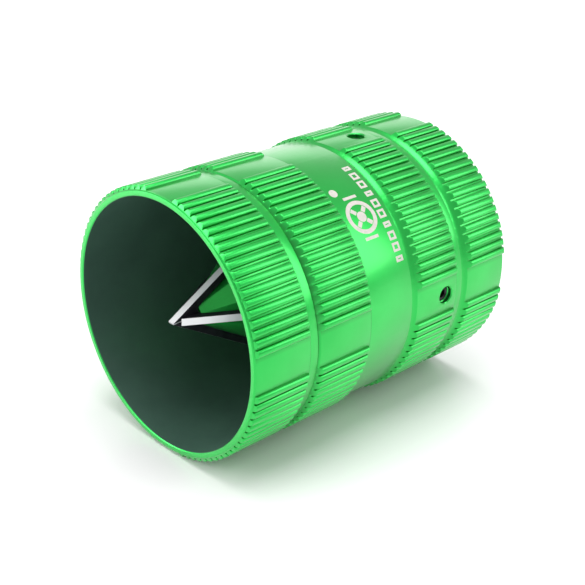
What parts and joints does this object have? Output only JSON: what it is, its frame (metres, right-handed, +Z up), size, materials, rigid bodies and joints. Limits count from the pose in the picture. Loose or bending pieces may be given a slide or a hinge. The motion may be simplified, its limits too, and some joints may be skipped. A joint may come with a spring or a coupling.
{
  "type": "pipe deburring tool",
  "caption": "Hand tool that deburrs pipe ends: ribbed aluminium barrel around a slotted cone with steel blades, for inside edges at the front and outside edges at the rear.",
  "frame": {"origin": "on the ground under the middle of the barrel's length, as the tool lies on its side on two ribs", "axes": "+Y along the barrel's axis towards the rear funnel, so the mouth with the cone faces -Y; +Z up; +X to the right of the mouth"},
  "size_m": [0.079, 0.1016, 0.0789],
  "materials": {
    "anodised": "green anodised, fine turned",
    "blade": "hardened and ground",
    "screw": "black oxide"
  },
  "bodies": {
    "barrel": {"barrel": "anodised", "blade_carrier": "anodised", "blade_top": "blade", "blade_right": "blade", "blade_bottom": "blade", "blade_left": "blade"},
    "set_screw_top": {"set_screw_top": "screw"},
    "set_screw_right": {"set_screw_right": "screw"},
    "set_screw_bottom": {"set_screw_bottom": "screw"},
    "set_screw_left": {"set_screw_left": "screw"}
  },
  "joints": [
    {"name": "set_screw_top_slide", "type": "slide", "parent": "barrel", "child": "set_screw_top", "axis": [0, 0, 1], "range_m": [0, 0.005]},
    {"name": "set_screw_right_slide", "type": "slide", "parent": "barrel", "child": "set_screw_right", "axis": [1, 0, 0], "range_m": [0, 0.005]},
    {"name": "set_screw_bottom_slide", "type": "slide", "parent": "barrel", "child": "set_screw_bottom", "axis": [0, 0, -1], "range_m": [0, 0.005]},
    {"name": "set_screw_left_slide", "type": "slide", "parent": "barrel", "child": "set_screw_left", "axis": [-1, 0, 0], "range_m": [0, 0.005]}
  ]
}
